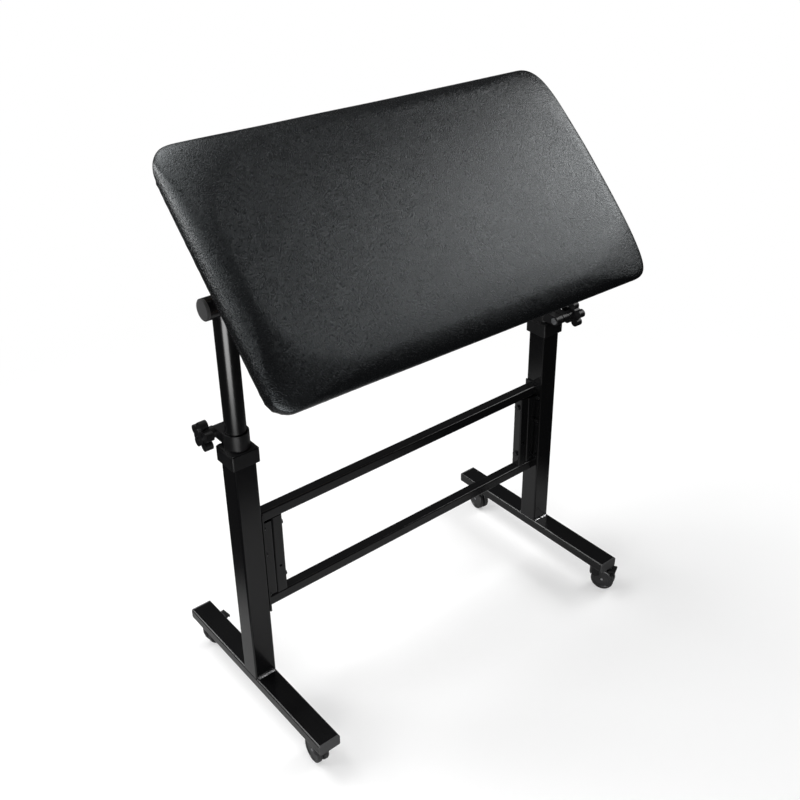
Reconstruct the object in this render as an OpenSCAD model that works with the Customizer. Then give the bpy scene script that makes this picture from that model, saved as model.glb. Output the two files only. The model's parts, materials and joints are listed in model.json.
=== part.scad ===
/* [Frame] */
// Distance between the centre lines of the two posts
post_span = 682; // [600:2:780]
// Width of the square posts and of the foot tubes
tube_w = 40; // [39:1:50]
// Wall of every square tube
tube_wall = 1.5; // [1:0.1:2]
// Outer corner radius of every square tube
tube_corner = 3; // [2.2:0.1:5]
// Length of a post above its foot
post_h = 458; // [420:2:540]
// Length of a foot over its end caps
foot_len = 416; // [380:2:520]
// Height of the foot tube
foot_h = 20; // [18:1:30]
// Width of the square tubes of the cross frame
rail_w = 20; // [16:1:25]
// Middle of the upper rail above the top of the feet
upper_rail_h = 317; // [260:1:380]
// Middle of the lower rail above the top of the feet
lower_rail_h = 142; // [100:1:200]
// Thickness of the plates that carry the cross frame
plate_t = 3; // [2:0.5:5]

/* [Height adjustment] */
// Outer diameter of the round tubes and of the pivot sleeves
slide_d = 34; // [32:0.5:35]
// Wall of the round tubes
slide_wall = 2; // [1.5:0.1:2.5]
// Pivot axis above the top of the feet, as it stands here
pivot_h = 704; // [680:1:740]
// Travel of the round tubes below this height
travel_down = 165; // [60:1:170]
// Travel of the round tubes above this height
travel_up = 85; // [40:1:110]
// Length of round tube that stays in the post at full height
engage = 80; // [60:1:110]
// Height of the moulded cap over the end of a post
cap_h = 26; // [22:1:34]
// Wall of the moulded cap
cap_wall = 5; // [3:0.5:6]
// Height of the clamp collar
collar_h = 28; // [24:1:34]
// Wall of the clamp collar
collar_wall = 3.5; // [3:0.25:5]
// Clamp bolt axis from the axis of the round tube
clamp_reach = 40; // [36:1:46]
// Slot between the two ears of the collar
clamp_slot = 2; // [1:0.5:4]

/* [Knobs] */
// Diameter over the lobes of a star knob
knob_d = 50; // [44:1:56]
// Number of lobes
knob_lobes = 5; // [4:1:7]
// Thickness of the lobed head
knob_t = 16; // [12:1:20]
// Diameter of the clamp bolts and of the lock screw
bolt_d = 8; // [6:1:10]

/* [Pad] */
// Length of the pad, along the pivot
pad_len = 763; // [640:1:860]
// Depth of the pad, up its slope
pad_depth = 423; // [380:1:500]
// Thickness of the pad at the middle, board and foam
pad_thick = 73.5; // [66:0.5:100]
// Height of the wrapped side, up to its widest part
pad_side_h = 38; // [30:1:44]
// How far the crown falls towards the long edges
pad_crown_y = 18; // [4:0.5:22]
// How far the crown falls towards the short edges
pad_crown_x = 4; // [2:0.5:16]
// How far the crown stays up towards the corners
pad_corner_lift = 13; // [0:0.5:14]
// Radius in plan of the corners, at the widest part
pad_corner = 32; // [26:1:60]
// Radius in plan of the corners, where they meet the crown
pad_top_corner = 140; // [80:2:150]
// Width of the rounding along the upper edges
pad_round = 26; // [18:1:36]
// How far the wrapped sides draw in at the underside
pad_draw_in = 11; // [4:1:13]
// Middle of the pad from the pivot, up the slope
pad_offset = 10; // [-20:1:30]
// Slope of the pad as it stands here
pad_tilt = 45; // [0:1:60]
// Thickness of the plywood board
board_t = 15; // [9:1:21]
// Diameter of the pivot bar
bar_d = 28; // [24:0.5:28.5]
// Middle of each bearer from the middle of the pad
bearer_x = 200; // [120:2:260]
// Length of the bearers under the board
bearer_len = 300; // [220:2:340]

/* [Casters] */
// Diameter of the caster wheels
wheel_d = 46; // [40:1:47]
// Width of one wheel
wheel_w = 9; // [8:1:12]
// Floor to the underside of the feet
caster_h = 54; // [54:1:70]
// Wheel axle from the swivel axis
caster_trail = 14; // [12:1:18]
// Swivel axis from the end of the foot
caster_inset = 28; // [26:1:60]

/* [Hidden] */
$fn = 48;

// Corners of the stand: name, side along X, side along Y, swivel at rest
CORNERS = [
    ["front_left", -1, -1, -95],
    ["front_right", 1, -1, 115],
    ["back_left", -1, 1, -174],
    ["back_right", 1, 1, 81]];

// Overrun of every cut
cut = 1;
// Gap between two pieces that sit on each other but are not one
seat_gap = 0.05;
// Radial clearance of every running fit
run_gap = 0.07;
// Gap between pieces that pass each other
free_gap = 0.3;

foot_top = caster_h + foot_h;
post_top = foot_top + post_h;
post_x = post_span / 2;
tube_in = tube_w - 2 * tube_wall;

// Foot end caps: flange and spigot
end_flange = 3;
end_spigot = 14;
end_spigot_wall = 2;
foot_tube_len = foot_len - 2 * end_flange;
stem_y = foot_len / 2 - caster_inset;

// Weld bead at the bottom of a post
bead_r = 2.2;

// Cross frame
upper_z = foot_top + upper_rail_h;
lower_z = foot_top + lower_rail_h;
plate_x = post_x - tube_w / 2 - plate_t;
bracket_x = plate_x - rail_w / 2;
stile_x = bracket_x - rail_w;
stile_bottom = lower_z + rail_w / 2;
stile_h = upper_rail_h - lower_rail_h - rail_w;
stile_gap = 3;
plate_reach = 2;
plate_h = upper_rail_h - lower_rail_h + rail_w + 2 * plate_reach;
frame_bolt_d = 6;
frame_bolt_head_d = 11;
frame_bolt_head_h = 3.5;
frame_nut_h = 5;
frame_bolt_tip = 2;
frame_nut_d = 11.5;
bolt_shares = [0.174, 0.87];
screw_shares = [0.084, 0.62, 0.96];
screw_d = 5;
screw_head_d = 8.5;
screw_head_h = 2.6;
screw_tip = 4;
screw_y = (tube_w / 2 + rail_w / 2) / 2;
vent_d = 5;
vent_share = 0.344;

// Round tubes and what guides them
pivot_z = foot_top + pivot_h;
slide_bottom = post_top - engage - travel_up;
guide_h = 14;
guide_plug_h = 16;
guide_gap = 0.2;
cap_top_t = 4;
cap_lip = 1.5;
cap_lip_h = 2;
cap_bush_h = 30;
cap_side = tube_w + 2 * cap_wall;
cap_corner = 4;

// Clamp collar and its bolt
collar_bottom = post_top + cap_top_t;
collar_mid = collar_bottom + collar_h / 2;
collar_r = slide_d / 2 + collar_wall;
ear_r = 9;
ear_half = 17;
collar_rim = 1.2;
head_h = 5;
head_d = 14;
head_recess = 3;
knob_neck_d = 20;
knob_neck = 11;
knob_gap = 0.3;
knob_x = ear_half + knob_gap;
knob_bore_depth = 16;
bolt_tip_gap = 1;
lobe_r = 8;
lobe_rise = 3;
lobe_web = 10;
knob_core_r = 0.6 * knob_d / 2;
knob_face_share = 0.83;
dimple_d = 11;
dimple_h = 1.5;

// Pivot sleeve, bar and lock
sleeve_half = 29;
bar_r = bar_d / 2;
sleeve_bore = bar_r + run_gap;
plug_flange = 4.5;
plug_spigot = 8;
plug_wall = 2;
plug_step = 1;
plug_screw_d = 4;
plug_screw_in = 4.5;
bar_end_play = 1;
bar_half = post_x + sleeve_half - plug_spigot - bar_end_play;
bar_wall = 2.5;
boss_d = 18;
boss_out = 12;
lock_neck = 9;
lock_tip_gap = 0.3;
lock_y = slide_d / 2 + boss_out;

// Bearers and board
bearer_w = 20;
bearer_notch = 2;
strip_t = 4;
strip_w = 52;
strip_screw_inset = 20;
wood_screw_d = 4;
wood_screw_len = 14;
wood_head_d = 8;
wood_head_h = 2.2;
pad_base = bar_r - bearer_notch + bearer_w + strip_t;
board_inset = 14;
board_corner = 30;
foam_gap = 0.2;

// Cushion rings: steps up the side, round the edge and over the top
corner_steps = 7;
long_steps = 7;
short_steps = 4;
side_steps = 4;
round_steps = 5;
top_steps = 7;

// Casters, drawn about the swivel axis with the wheels trailing towards -X
wheel_r = wheel_d / 2;
axle_d = 5;
web_w = 3.2;
web_play = 0.4;
wheel_in = web_w / 2 + web_play;
wheel_out = wheel_in + wheel_w;
axle_end = 1;
wheel_edge = 2.4;
face_dish = 1.2;
face_rim = 3;
cap_dot_d = 12;
stem_flange_d = 18;
stem_flange_h = 2.2;
stem_pin_d = 7;
stem_pin_len = 6.5;
stem_over_nut = 3;
caster_nut_h = 6.5;
caster_nut_d = 15;
boss_top = caster_h - stem_flange_h - free_gap;
hood_d = 28;
hood_drop = 7;
hood_edge = 1.5;
pocket_side = 1;
fender_gap = 1;
fender_t = 1.6;
fender_edge = 0.6;
fender_from = 60;
fender_to = 110;
web_r = 9;
web_front_share = 0.8;
web_neck_share = 0.7;
brake_turn = 120;
brake_hub_r = 3;
brake_reach = wheel_r + fender_gap + brake_hub_r;
brake_x = brake_reach * cos(brake_turn) - caster_trail;
brake_z = wheel_r + brake_reach * sin(brake_turn);
brake_pin_d = 3;
brake_w = 20;
brake_len = 11.5;
brake_rise = 2;
brake_t = 3;
brake_lip = 2;
brake_slot_gap = 1.2;
brake_side_gap = 0.5;

module steel() color([0.06, 0.06, 0.065]) children();
module gloss() color([0.04, 0.04, 0.045]) children();
module plastic() color([0.11, 0.11, 0.115]) children();
module zinc() color([0.62, 0.63, 0.64]) children();

// A rectangle with four round corners
module round_rect(w, d, r) {
    square([w - 2 * r, d], center = true);
    square([w, d - 2 * r], center = true);
    for (sx = [-1, 1], sy = [-1, 1])
        translate([sx * (w / 2 - r), sy * (d / 2 - r)])
            circle(r);
}

// Section of a square or flat tube
module tube_section(w, d) {
    difference() {
        round_rect(w, d, tube_corner);
        round_rect(w - 2 * tube_wall, d - 2 * tube_wall, tube_corner - tube_wall);
    }
}

// A square with round corners that fits the bore of a square tube
module bore_section(gap) {
    round_rect(tube_in - 2 * gap, tube_in - 2 * gap, tube_corner - tube_wall);
}

// A cylinder along X, from x to x + len
module rod_x(x, len, d) {
    translate([x, 0, 0])
        rotate([0, 90, 0])
            cylinder(d = d, h = len);
}

// A cylinder along Y, from y to y + len
module rod_y(y, len, d) {
    translate([0, y, 0])
        rotate([-90, 0, 0])
            cylinder(d = d, h = len);
}

// A regular six-sided prism along Z, measured over its corners
module hex(d, h) {
    cylinder(d = d, h = h, $fn = 6);
}

// The left side as drawn; the right side is the same turned half round
module at_post(side) {
    translate([side * post_x, 0, 0])
        rotate([0, 0, side < 0 ? 0 : 180])
            children();
}

// Foot

module foot_tube(side) {
    steel()
        difference() {
            translate([side * post_x, foot_tube_len / 2, caster_h + foot_h / 2])
                rotate([90, 0, 0])
                    linear_extrude(foot_tube_len)
                        tube_section(tube_w, foot_h);
            for (end = [-1, 1])
                translate([side * post_x, end * stem_y, caster_h - cut])
                    cylinder(r = bolt_d / 2 + free_gap, h = tube_wall + 2 * cut);
        }
}

module foot_end_cap() {
    rotate([-90, 0, 0]) {
        linear_extrude(end_flange)
            round_rect(tube_w, foot_h, tube_corner);
        translate([0, 0, -end_spigot])
            linear_extrude(end_spigot)
                difference() {
                    round_rect(tube_in - 2 * guide_gap, foot_h - 2 * tube_wall - 2 * guide_gap,
                        tube_corner - tube_wall);
                    square([tube_in - 2 * end_spigot_wall, foot_h - 2 * tube_wall - 2 * end_spigot_wall],
                        center = true);
                }
    }
}

module foot_end_caps() {
    plastic()
        for (side = [-1, 1], end = [-1, 1])
            translate([side * post_x, end * foot_tube_len / 2, caster_h + foot_h / 2])
                rotate([0, 0, end > 0 ? 0 : 180])
                    foot_end_cap();
}

// Post, with its weld beads across the foot

module weld_bead() {
    intersection() {
        rod_x(-tube_w / 2 + tube_corner, tube_w - 2 * tube_corner, 2 * bead_r);
        translate([-tube_w / 2, -bead_r, 0])
            cube([tube_w, bead_r + tube_wall / 2, bead_r]);
    }
}

module post(side) {
    steel() {
        difference() {
            translate([side * post_x, 0, foot_top])
                linear_extrude(post_h)
                    tube_section(tube_w, tube_w);
            screw_places(side)
                cylinder(r = screw_d / 2 + seat_gap, h = plate_t + tube_wall + cut);
        }
        for (turn = [0, 180])
            translate([side * post_x, 0, foot_top])
                rotate([0, 0, turn])
                    translate([0, -tube_w / 2, 0])
                        weld_bead();
    }
}

// Places of the screws that hold a bracket plate, +Z into the post
module screw_places(side) {
    for (share = screw_shares, sy = [-1, 1])
        translate([side * plate_x, sy * screw_y, stile_bottom + share * stile_h])
            rotate([0, side * 90, 0])
                children();
}

// Moulded cap: a skirt over the post, a stepped top and a bush inside the post

module post_cap(side) {
    plastic()
        translate([side * post_x, 0, post_top])
            difference() {
                union() {
                    difference() {
                        translate([0, 0, cap_top_t - cap_h])
                            linear_extrude(cap_h - cap_lip_h)
                                round_rect(cap_side, cap_side, cap_corner);
                        translate([0, 0, cap_top_t - cap_h - cut])
                            linear_extrude(cap_h - cap_top_t + cut)
                                round_rect(tube_w + 2 * seat_gap, tube_w + 2 * seat_gap, tube_corner);
                    }
                    linear_extrude(cap_top_t)
                        round_rect(cap_side - 2 * cap_lip, cap_side - 2 * cap_lip, cap_corner);
                    translate([0, 0, -cap_bush_h])
                        linear_extrude(cap_bush_h + cap_top_t / 2)
                            bore_section(guide_gap);
                }
                translate([0, 0, -cap_bush_h - cut])
                    cylinder(r = slide_d / 2 + run_gap, h = cap_bush_h + cap_top_t + 2 * cut);
            }
}

// Clamp collar: a split ring with two ears towards +Y and the knob towards -X

module collar_solid() {
    cylinder(r = collar_r, h = collar_h);
    translate([0, 0, collar_h / 2]) {
        translate([-ear_half, 0, -ear_r])
            cube([2 * ear_half, clamp_reach, 2 * ear_r]);
        translate([0, clamp_reach, 0])
            rod_x(-ear_half, 2 * ear_half, 2 * ear_r);
    }
}

module clamp_collar(side) {
    plastic()
        at_post(side)
            translate([0, 0, collar_bottom])
                difference() {
                    collar_solid();
                    translate([0, 0, -cut])
                        cylinder(r = slide_d / 2 + run_gap, h = collar_h + 2 * cut);
                    translate([0, 0, collar_h - collar_rim])
                        cylinder(r = slide_d / 2 + collar_rim, h = collar_rim + cut);
                    translate([-clamp_slot / 2, 0, -cut])
                        cube([clamp_slot, clamp_reach + ear_r + cut, collar_h + 2 * cut]);
                    translate([0, clamp_reach, collar_h / 2]) {
                        rod_x(-ear_half - cut, 2 * (ear_half + cut), bolt_d + 2 * run_gap);
                        translate([ear_half - head_recess, 0, 0])
                            rotate([0, 90, 0])
                                hex(head_d + 2 * free_gap, head_recess + cut);
                    }
                }
}

// Bolts through both ears, each with its head sunk in the inner one
module clamp_bolts() {
    zinc()
        for (side = [-1, 1])
            at_post(side)
                translate([0, clamp_reach, collar_mid]) {
                    rod_x(-knob_x - knob_bore_depth + bolt_tip_gap,
                        knob_x + knob_bore_depth - bolt_tip_gap + ear_half, bolt_d);
                    translate([ear_half - head_recess, 0, 0])
                        rotate([0, 90, 0])
                            hex(head_d, head_h);
                }
}

// Plan of a star knob: a core with round lobes

module knob_plan() {
    circle(knob_core_r);
    for (i = [0 : knob_lobes - 1])
        rotate(i * 360 / knob_lobes) {
            translate([knob_d / 2 - lobe_r, 0])
                circle(lobe_r);
            translate([0, -lobe_web / 2])
                square([knob_d / 2 - lobe_r, lobe_web]);
        }
}

// Star knob along +Z: a neck, the lobed head with a raised middle, and a dimple in its face
module star_knob(neck) {
    difference() {
        union() {
            cylinder(d = knob_neck_d, h = neck + lobe_rise);
            translate([0, 0, neck])
                linear_extrude(knob_t - lobe_rise)
                    knob_plan();
            translate([0, 0, neck])
                cylinder(r = knob_face_share * knob_core_r, h = knob_t);
        }
        translate([0, 0, neck + knob_t - dimple_h])
            cylinder(d = dimple_d, h = dimple_h + cut);
    }
}

module clamp_knob(side) {
    plastic()
        at_post(side)
            translate([-knob_x, clamp_reach, collar_mid])
                rotate([0, -90, 0])
                    difference() {
                        star_knob(knob_neck);
                        translate([0, 0, -cut])
                            cylinder(r = bolt_d / 2 + run_gap, h = knob_bore_depth + cut);
                    }
}

// Cross frame

module rail(z) {
    steel()
        translate([-plate_x + seat_gap, 0, z])
            rotate([90, 0, 90])
                linear_extrude(2 * (plate_x - seat_gap))
                    tube_section(rail_w, rail_w);
}

module stile(side) {
    steel()
        difference() {
            translate([side * stile_x, 0, stile_bottom])
                linear_extrude(stile_h)
                    tube_section(rail_w, rail_w);
            bolt_holes(side);
            translate([side * stile_x, 0, stile_bottom + vent_share * stile_h])
                rotate([90, 0, 0])
                    cylinder(d = vent_d, h = rail_w);
        }
}

// Clearance holes for the bolts that tie a stile to its bracket
module bolt_holes(side) {
    for (share = bolt_shares)
        translate([side * stile_x, 0, stile_bottom + share * stile_h])
            rod_x(-rail_w, 2 * rail_w, frame_bolt_d + 2 * free_gap);
}

module end_bracket(side) {
    steel() {
        difference() {
            translate([side * bracket_x, 0, stile_bottom + stile_gap])
                linear_extrude(stile_h - 2 * stile_gap)
                    tube_section(rail_w, rail_w);
            bolt_holes(side);
        }
        difference() {
            translate([side * (plate_x + plate_t / 2), 0, (upper_z + lower_z) / 2])
                cube([plate_t, tube_w, plate_h], center = true);
            screw_places(side)
                translate([0, 0, -cut])
                    cylinder(r = screw_d / 2 + free_gap, h = plate_t + 2 * cut);
        }
    }
}

module frame_bolts() {
    zinc()
        for (side = [-1, 1], share = bolt_shares)
            translate([side * (stile_x - rail_w / 2), 0, stile_bottom + share * stile_h])
                rotate([0, side * 90, 0]) {
                    cylinder(d = frame_bolt_d, h = rail_w + tube_wall + frame_nut_h + frame_bolt_tip);
                    translate([0, 0, -frame_bolt_head_h])
                        cylinder(d = frame_bolt_head_d, h = frame_bolt_head_h);
                }
}

module frame_nuts() {
    zinc()
        for (side = [-1, 1], share = bolt_shares)
            translate([side * (bracket_x - rail_w / 2 + tube_wall), 0, stile_bottom + share * stile_h])
                rotate([0, side * 90, 0])
                    difference() {
                        hex(frame_nut_d, frame_nut_h);
                        translate([0, 0, -cut])
                            cylinder(r = frame_bolt_d / 2 + seat_gap, h = frame_nut_h + 2 * cut);
                    }
}

// Screws through the bracket plates into the posts
module bracket_screws() {
    zinc()
        for (side = [-1, 1])
            screw_places(side) {
                cylinder(d = screw_d, h = plate_t + tube_wall + screw_tip);
                translate([0, 0, -screw_head_h])
                    cylinder(d = screw_head_d, h = screw_head_h);
            }
}

// Round tube, coped under its pivot sleeve

module height_tube(side) {
    gloss()
        translate([side * post_x, 0, slide_bottom])
            difference() {
                cylinder(d = slide_d, h = pivot_z - slide_bottom);
                translate([0, 0, -cut])
                    cylinder(d = slide_d - 2 * slide_wall, h = pivot_z - slide_bottom + 2 * cut);
                translate([0, 0, pivot_z - slide_bottom]) {
                    rod_x(-slide_d, 2 * slide_d, slide_d + 2 * seat_gap);
                    if (side > 0)
                        rod_y(0, slide_d, bolt_d + 2 * free_gap);
                }
            }
}

// Round guides in the lower ends of the round tubes, inside the posts
module tube_guides() {
    plastic()
        for (side = [-1, 1])
            translate([side * post_x, 0, slide_bottom]) {
                translate([0, 0, -guide_h])
                    cylinder(r = tube_in / 2 - guide_gap, h = guide_h);
                cylinder(r = slide_d / 2 - slide_wall - seat_gap, h = guide_plug_h);
            }
}

module pivot_sleeve(side) {
    gloss()
        translate([side * post_x, 0, pivot_z])
            difference() {
                rod_x(-sleeve_half, 2 * sleeve_half, slide_d);
                rod_x(-sleeve_half - cut, 2 * (sleeve_half + cut), 2 * sleeve_bore);
                translate([side * (sleeve_half - plug_screw_in), 0, 0])
                    rod_y(-slide_d, slide_d, plug_screw_d + 2 * seat_gap);
                if (side > 0)
                    rod_y(0, slide_d, bolt_d + 2 * free_gap);
            }
}

// Flanged plugs in the outer ends of the sleeves
module sleeve_plugs() {
    plastic()
        for (side = [-1, 1])
            translate([side * (post_x + sleeve_half), 0, pivot_z])
                rotate([0, side * 90, 0]) {
                    cylinder(d = slide_d, h = plug_flange - plug_step);
                    cylinder(d = slide_d - 2 * plug_step, h = plug_flange);
                    translate([0, 0, -plug_spigot])
                        difference() {
                            cylinder(r = sleeve_bore - seat_gap, h = plug_spigot);
                            translate([0, 0, -cut])
                                cylinder(r = sleeve_bore - seat_gap - plug_wall, h = plug_spigot);
                        }
                }
}

// Small screws in the fronts of the sleeves, which hold the plugs
module plug_screws() {
    zinc()
        for (side = [-1, 1])
            translate([side * (post_x + sleeve_half - plug_screw_in), 0, pivot_z])
                rod_y(-slide_d / 2, slide_d / 2 - sleeve_bore + seat_gap, plug_screw_d);
}

// Tilt lock on the rear of the right sleeve

module lock_boss() {
    steel()
        translate([post_x, 0, pivot_z])
            difference() {
                rod_y(0, lock_y, boss_d);
                rod_x(-boss_d, 2 * boss_d, slide_d + 2 * seat_gap);
                rod_y(0, lock_y + cut, bolt_d + 2 * run_gap);
                translate([0, 0, -boss_d])
                    cylinder(d = slide_d + 2 * seat_gap, h = boss_d);
            }
}

module lock_screw() {
    zinc()
        translate([post_x, 0, pivot_z])
            rod_y(bar_r + lock_tip_gap, lock_y + knob_bore_depth - bar_r - lock_tip_gap, bolt_d);
}

module lock_knob() {
    plastic()
        translate([post_x, lock_y + knob_gap, pivot_z])
            rotate([-90, 0, 0])
                difference() {
                    star_knob(lock_neck);
                    translate([0, 0, -cut])
                        cylinder(r = bolt_d / 2 + seat_gap, h = knob_bore_depth + cut);
                }
}

// Pieces that tilt with the pad are drawn flat, about the pivot axis

module tilted() {
    translate([0, 0, pivot_z])
        rotate([pad_tilt, 0, 0])
            children();
}

module pivot_bar() {
    steel()
        tilted()
            difference() {
                rod_x(-bar_half, 2 * bar_half, bar_d);
                rod_x(-bar_half - cut, 2 * (bar_half + cut), bar_d - 2 * bar_wall);
            }
}

// Places of the four screws in a bearer's strip
module strip_screws(side) {
    for (sx = [-1, 1], sy = [-1, 1])
        translate([side * bearer_x + sx * (strip_w + bearer_w) / 4,
            pad_offset + sy * (bearer_len / 2 - strip_screw_inset), 0])
            children();
}

// A square tube across the bar, notched over it, with a flat strip on top
module pad_bearer(side) {
    steel()
        tilted() {
            difference() {
                translate([side * bearer_x, pad_offset + bearer_len / 2, pad_base - strip_t - bearer_w / 2])
                    rotate([90, 0, 0])
                        linear_extrude(bearer_len)
                            tube_section(bearer_w, bearer_w);
                rod_x(side * bearer_x - bearer_w, 2 * bearer_w, bar_d + 2 * seat_gap);
            }
            difference() {
                translate([side * bearer_x - strip_w / 2, pad_offset - bearer_len / 2, pad_base - strip_t])
                    cube([strip_w, bearer_len, strip_t]);
                strip_screws(side)
                    translate([0, 0, pad_base - strip_t - cut])
                        cylinder(r = wood_screw_d / 2 + free_gap, h = strip_t + 2 * cut);
            }
        }
}

module bearer_screws() {
    zinc()
        tilted()
            for (side = [-1, 1])
                strip_screws(side) {
                    translate([0, 0, pad_base - strip_t - wood_head_h])
                        cylinder(d = wood_head_d, h = wood_head_h);
                    translate([0, 0, pad_base - strip_t])
                        cylinder(d = wood_screw_d, h = wood_screw_len);
                }
}

module board_plan(grow) {
    round_rect(pad_len - 2 * board_inset + 2 * grow, pad_depth - 2 * board_inset + 2 * grow,
        board_corner + grow);
}

module pad_board() {
    color([0.72, 0.58, 0.40])
        tilted()
            difference() {
                translate([0, pad_offset, pad_base])
                    linear_extrude(board_t)
                        board_plan(0);
                for (side = [-1, 1])
                    strip_screws(side)
                        translate([0, 0, pad_base - cut])
                            cylinder(r = wood_screw_d / 2 + seat_gap, h = wood_screw_len - strip_t + 2 * cut);
            }
}

// Cushion: rings of points that climb the wrapped side, round the edge and close over the crown

// Points from a to b, without b
function steps(a, b, n) = [for (i = [0 : n - 1]) a + (b - a) * i / n];

// One corner of the plan: an arc about its centre
function corner_arc(cx, cy, r, from) =
    [for (i = [0 : corner_steps]) [cx + r * cos(from + 90 * i / corner_steps),
                                   cy + r * sin(from + 90 * i / corner_steps)]];

// Points strictly between two corners
function between(a, b, n) = [for (i = [1 : n - 1]) a + (b - a) * i / n];

// Plan outline, drawn in by inset, with corners of radius r
function plan_ring(inset, r) =
    let (cx = pad_len / 2 - inset - r, cy = pad_depth / 2 - inset - r)
    concat(
        corner_arc(cx, cy, r, 0), between([cx, cy + r], [-cx, cy + r], long_steps),
        corner_arc(-cx, cy, r, 90), between([-cx - r, cy], [-cx - r, -cy], short_steps),
        corner_arc(-cx, -cy, r, 180), between([-cx, -cy - r], [cx, -cy - r], long_steps),
        corner_arc(cx, -cy, r, 270), between([cx + r, -cy], [cx + r, cy], short_steps));

// Drop of the crown at a point of the plan
function crown_drop(p) =
    let (u = pow(2 * p[0] / pad_len, 2), v = pow(2 * p[1] / pad_depth, 2))
    pad_crown_x * u + pad_crown_y * v - pad_corner_lift * u * v;

// Ring on the wrapped side, from the underside (0) to the widest part (1)
function side_ring(share) =
    let (inset = pad_draw_in * pow(1 - share, 2))
    [for (p = plan_ring(inset, pad_corner - inset)) [p[0], p[1], share * pad_side_h]];

// Ring on the rounded edge, from the widest part (0) to the crown (1)
function round_ring(share) =
    let (turn = 90 * share, inset = pad_round * (1 - cos(turn)),
        r = pad_corner + (pad_top_corner - pad_corner) * share)
    [for (p = plan_ring(inset, r)) [p[0], p[1],
        pad_side_h + (pad_thick - crown_drop(p) - pad_side_h) * sin(turn)]];

// Ring on the crown, shrinking from the rounded edge (0) towards the middle (1)
function top_ring(share) =
    [for (p = plan_ring(pad_round, pad_top_corner))
        let (q = p * (1 - share))
        [q[0], q[1], pad_thick - crown_drop(q)]];

cushion_rings = concat(
    [for (s = steps(0, 1, side_steps)) side_ring(s)],
    [for (s = steps(0, 1, round_steps)) round_ring(s)],
    [for (s = steps(0, 1, top_steps)) top_ring(s)]);
ring_count = len(cushion_rings);
ring_size = len(cushion_rings[0]);
cushion_points = concat([for (ring = cushion_rings) each ring], [[0, 0, 0], [0, 0, pad_thick]]);
cushion_faces = concat(
    [for (k = [0 : ring_count - 2], i = [0 : ring_size - 1])
        let (j = (i + 1) % ring_size, low = k * ring_size, high = low + ring_size)
        each [[low + i, high + j, low + j], [low + i, high + i, high + j]]],
    [for (i = [0 : ring_size - 1])
        let (j = (i + 1) % ring_size, last = (ring_count - 1) * ring_size)
        each [[i, j, ring_count * ring_size], [last + j, last + i, ring_count * ring_size + 1]]]);

module pad_cushion() {
    color([0.05, 0.052, 0.056])
        tilted()
            translate([0, pad_offset, pad_base])
                difference() {
                    polyhedron(cushion_points, cushion_faces);
                    translate([0, 0, -cut])
                        linear_extrude(board_t + foam_gap + cut)
                            board_plan(foam_gap);
                }
}

// Casters

module at_caster(c) {
    translate([c[1] * post_x, c[2] * stem_y, 0])
        rotate([0, 0, c[3]])
            children();
}

// Threaded stem: screwed into the foot above, a running pin below
module caster_stems() {
    zinc()
        for (c = CORNERS)
            at_caster(c) {
                translate([0, 0, caster_h])
                    cylinder(d = bolt_d, h = tube_wall + caster_nut_h + stem_over_nut);
                translate([0, 0, caster_h - stem_flange_h])
                    cylinder(d = stem_flange_d, h = stem_flange_h);
                translate([0, 0, caster_h - stem_flange_h - stem_pin_len])
                    cylinder(d = stem_pin_d, h = stem_pin_len);
            }
}

module caster_nuts() {
    zinc()
        for (c = CORNERS)
            at_caster(c)
                translate([0, 0, caster_h + tube_wall])
                    difference() {
                        hex(caster_nut_d, caster_nut_h);
                        translate([0, 0, -cut])
                            cylinder(r = bolt_d / 2 + seat_gap, h = caster_nut_h + 2 * cut);
                    }
}

// A slab of width w, centred on the swivel axis, drawn as x and z
module slab_y(w) {
    translate([0, w / 2, 0])
        rotate([90, 0, 0])
            linear_extrude(w)
                children();
}

// The part of a disc over both wheels that the wheel pockets turn into a fender
module fender_plan() {
    outer = wheel_r + fender_gap + fender_t;
    reach = 2 * outer;
    translate([-caster_trail, wheel_r])
        intersection() {
            circle(outer);
            polygon([[0, 0],
                reach * [cos(fender_from), sin(fender_from)],
                reach * [cos(fender_to), sin(fender_to)]]);
        }
}

// The web between the wheels, which carries the axle and the brake pin
module web_plan() {
    front = web_front_share * hood_d / 2;
    translate([-caster_trail, wheel_r])
        circle(web_r);
    translate([brake_x, brake_z])
        circle(brake_hub_r);
    polygon([
        [web_r - caster_trail, wheel_r],
        [front, wheel_r + hood_drop],
        [front, boss_top - stem_pin_len],
        [0, boss_top - stem_pin_len / 2],
        [brake_x, brake_z + web_neck_share * brake_hub_r],
        [brake_x, brake_z - web_neck_share * brake_hub_r],
        [-caster_trail - web_r, wheel_r]]);
}

// Round housing over the swivel, open where the wheels run
module hood_section() {
    hood_r = hood_d / 2;
    polygon([
        [0, wheel_r + hood_drop],
        [hood_r - hood_edge / 2, wheel_r + hood_drop],
        [hood_r, wheel_r + hood_drop + hood_edge / 2],
        [hood_r, boss_top - hood_edge],
        [hood_r - hood_edge, boss_top],
        [0, boss_top]]);
}

module caster_hood(c) {
    pocket_out = wheel_out + pocket_side;
    plastic()
        at_caster(c)
            difference() {
                union() {
                    slab_y(web_w)
                        web_plan();
                    slab_y(2 * (wheel_out + fender_edge))
                        fender_plan();
                    rotate_extrude()
                        hood_section();
                    translate([brake_x, 0, brake_z])
                        rod_y(-brake_w / 2, brake_w, brake_pin_d);
                }
                translate([0, 0, boss_top - stem_pin_len])
                    cylinder(r = stem_pin_d / 2 + run_gap, h = stem_pin_len + cut);
                translate([-caster_trail, 0, wheel_r]) {
                    rod_y(-web_w, 2 * web_w, axle_d + 2 * run_gap);
                    for (from = [-pocket_out, web_w / 2])
                        rod_y(from, pocket_out - web_w / 2, wheel_d + 2 * fender_gap);
                }
            }
}

module caster_axle(c) {
    zinc()
        at_caster(c)
            translate([-caster_trail, 0, wheel_r])
                rod_y(-wheel_out + axle_end, 2 * (wheel_out - axle_end), axle_d);
}

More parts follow.
